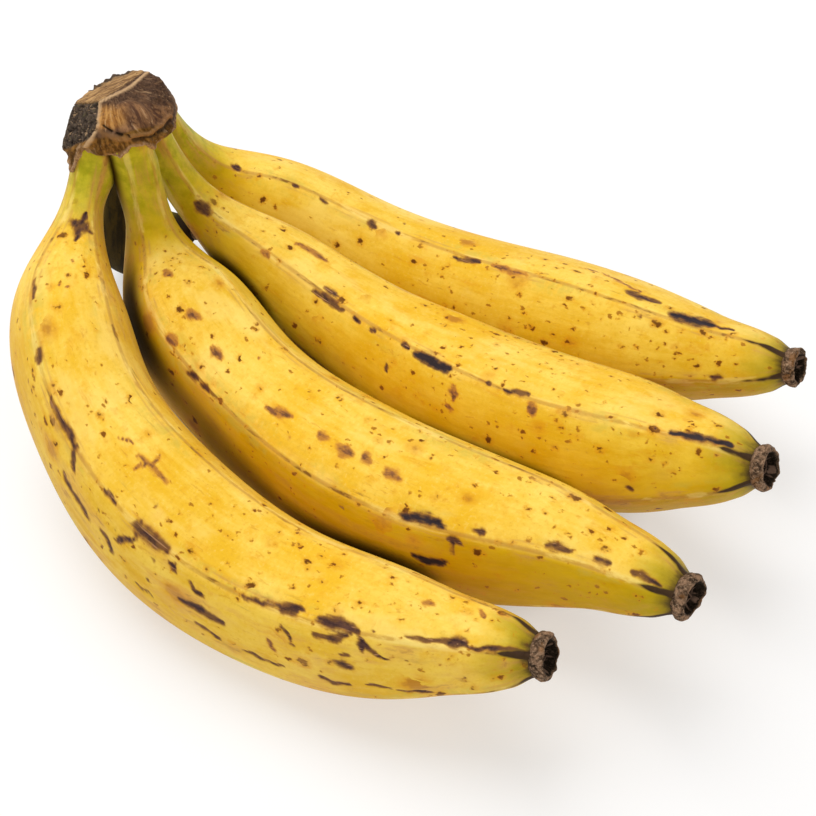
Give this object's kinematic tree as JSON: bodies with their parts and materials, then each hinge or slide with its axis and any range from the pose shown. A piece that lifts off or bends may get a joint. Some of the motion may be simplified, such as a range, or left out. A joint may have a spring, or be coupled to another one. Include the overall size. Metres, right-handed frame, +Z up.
{
  "type": "hand of plantains",
  "caption": "Hand of ripe plantains with blotched yellow peel, joined at a cut woody crown, lying on its bellies with the dried tips fanned out.",
  "frame": {"origin": "on the surface that the hand lies on, under the middle of its bounding box", "axes": "+Z up; the picture looks along +Y and down, with +X to its right, so the crown is at -X and the tips point to +X"},
  "size_m": [0.2448, 0.216, 0.1022],
  "materials": {
    "peel": "ripe yellow peel with green ends, brown freckles and dark bruises, waxy satin",
    "green_peel": "dull olive peel, satin",
    "dried_flower": "dry grey brown, rough",
    "crown": "dry fibrous brown with dark bruised skin and pale tan cut edges, matte"
  },
  "bodies": {
    "root": {"plantain_1": "peel", "plantain_2": "peel", "plantain_3": "peel", "plantain_4": "peel", "plantain_5": "green_peel", "flower_end_1": "dried_flower", "flower_end_2": "dried_flower", "flower_end_3": "dried_flower", "flower_end_4": "dried_flower", "flower_end_5": "dried_flower", "crown": "crown"}
  },
  "joints": []
}
